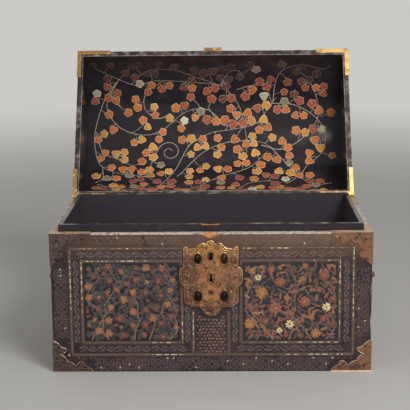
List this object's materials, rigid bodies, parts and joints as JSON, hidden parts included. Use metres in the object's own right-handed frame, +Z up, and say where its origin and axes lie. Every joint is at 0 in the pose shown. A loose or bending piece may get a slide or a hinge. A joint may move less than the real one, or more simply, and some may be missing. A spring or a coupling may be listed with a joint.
{
  "type": "lacquer coffer",
  "caption": "Lidded storage coffer with a barrel-vaulted hinged lid, inlaid lacquer panels, gilt corner mounts, hasp and lock plate, and bail handles on the ends.",
  "frame": {"origin": "centre of the underside of the chest, on the surface that it stands on", "axes": "+X along the front to the right, +Y to the back, +Z up; the lid stands open at rest"},
  "size_m": [0.4776, 0.4533, 0.431],
  "materials": {
    "exterior_lacquer": "satin brown-black lacquer with gold powder and shell inlay",
    "interior_lacquer": "polished black lacquer",
    "gilt_copper": "worn gilding over brown patinated copper",
    "bright_gilt": "bright gilding, rubbed at the edges",
    "dark_copper": "near-black patinated copper alloy",
    "lock_iron": "dull forged iron"
  },
  "bodies": {
    "chest": {"front_board": "exterior_lacquer", "back_board": "exterior_lacquer", "left_board": "exterior_lacquer", "right_board": "exterior_lacquer", "bottom_board": "exterior_lacquer", "front_lining": "interior_lacquer", "back_lining": "interior_lacquer", "left_lining": "interior_lacquer", "right_lining": "interior_lacquer", "floor_lining": "interior_lacquer", "corner_mount_front_left_upper": "gilt_copper", "corner_mount_front_left_lower": "gilt_copper", "corner_mount_front_right_upper": "gilt_copper", "corner_mount_front_right_lower": "gilt_copper", "corner_mount_back_left_upper": "gilt_copper", "corner_mount_back_left_lower": "gilt_copper", "corner_mount_back_right_upper": "gilt_copper", "corner_mount_back_right_lower": "gilt_copper", "lock_plate": "gilt_copper", "lock_boss_upper_left": "dark_copper", "lock_boss_upper_right": "dark_copper", "lock_boss_lower_left": "dark_copper", "lock_boss_lower_right": "dark_copper", "lock_case": "lock_iron", "bolt_spring": "lock_iron", "hinge_leaf_chest_left": "gilt_copper", "hinge_pin_left": "dark_copper", "handle_rosette_left_front": "gilt_copper", "handle_post_left_front": "gilt_copper", "handle_rosette_left_back": "gilt_copper", "handle_post_left_back": "gilt_copper", "hinge_leaf_chest_right": "gilt_copper", "hinge_pin_right": "dark_copper", "handle_rosette_right_front": "gilt_copper", "handle_post_right_front": "gilt_copper", "handle_rosette_right_back": "gilt_copper", "handle_post_right_back": "gilt_copper"},
    "lid": {"lid_vault": "exterior_lacquer", "lid_end_left": "exterior_lacquer", "lid_end_right": "exterior_lacquer", "hinge_leaf_lid_left": "gilt_copper", "hinge_leaf_lid_right": "gilt_copper", "hasp_leaf": "bright_gilt", "hasp_pin": "dark_copper", "lid_mount_front_left": "bright_gilt", "lid_mount_front_right": "bright_gilt", "lid_mount_back_left": "bright_gilt", "lid_mount_back_right": "bright_gilt"},
    "hasp": {"hasp_plate": "bright_gilt", "hasp_staple": "lock_iron"},
    "bolt": {"lock_bolt": "lock_iron"},
    "left_handle": {"handle_left": "gilt_copper"},
    "right_handle": {"handle_right": "gilt_copper"}
  },
  "joints": [
    {"name": "lid_hinge", "type": "hinge", "parent": "chest", "child": "lid", "pos_m": [0, 0.1325, 0.20125], "axis": [1, 0, 0], "range_deg": [0, 120]},
    {"name": "hasp_hinge", "type": "hinge", "parent": "lid", "child": "hasp", "pos_m": [0, 0.2719, 0.4278], "axis": [1, 0, 0], "range_deg": [0, 197]},
    {"name": "bolt_slide", "type": "slide", "parent": "chest", "child": "bolt", "axis": [1, 0, 0], "range_m": [0, 0.008]},
    {"name": "left_handle_swing", "type": "hinge", "parent": "chest", "child": "left_handle", "pos_m": [-0.234, 0, 0.12], "axis": [0, 1, 0], "range_deg": [0, 100]},
    {"name": "right_handle_swing", "type": "hinge", "parent": "chest", "child": "right_handle", "pos_m": [0.234, 0, 0.12], "axis": [0, -1, 0], "range_deg": [0, 100]}
  ]
}
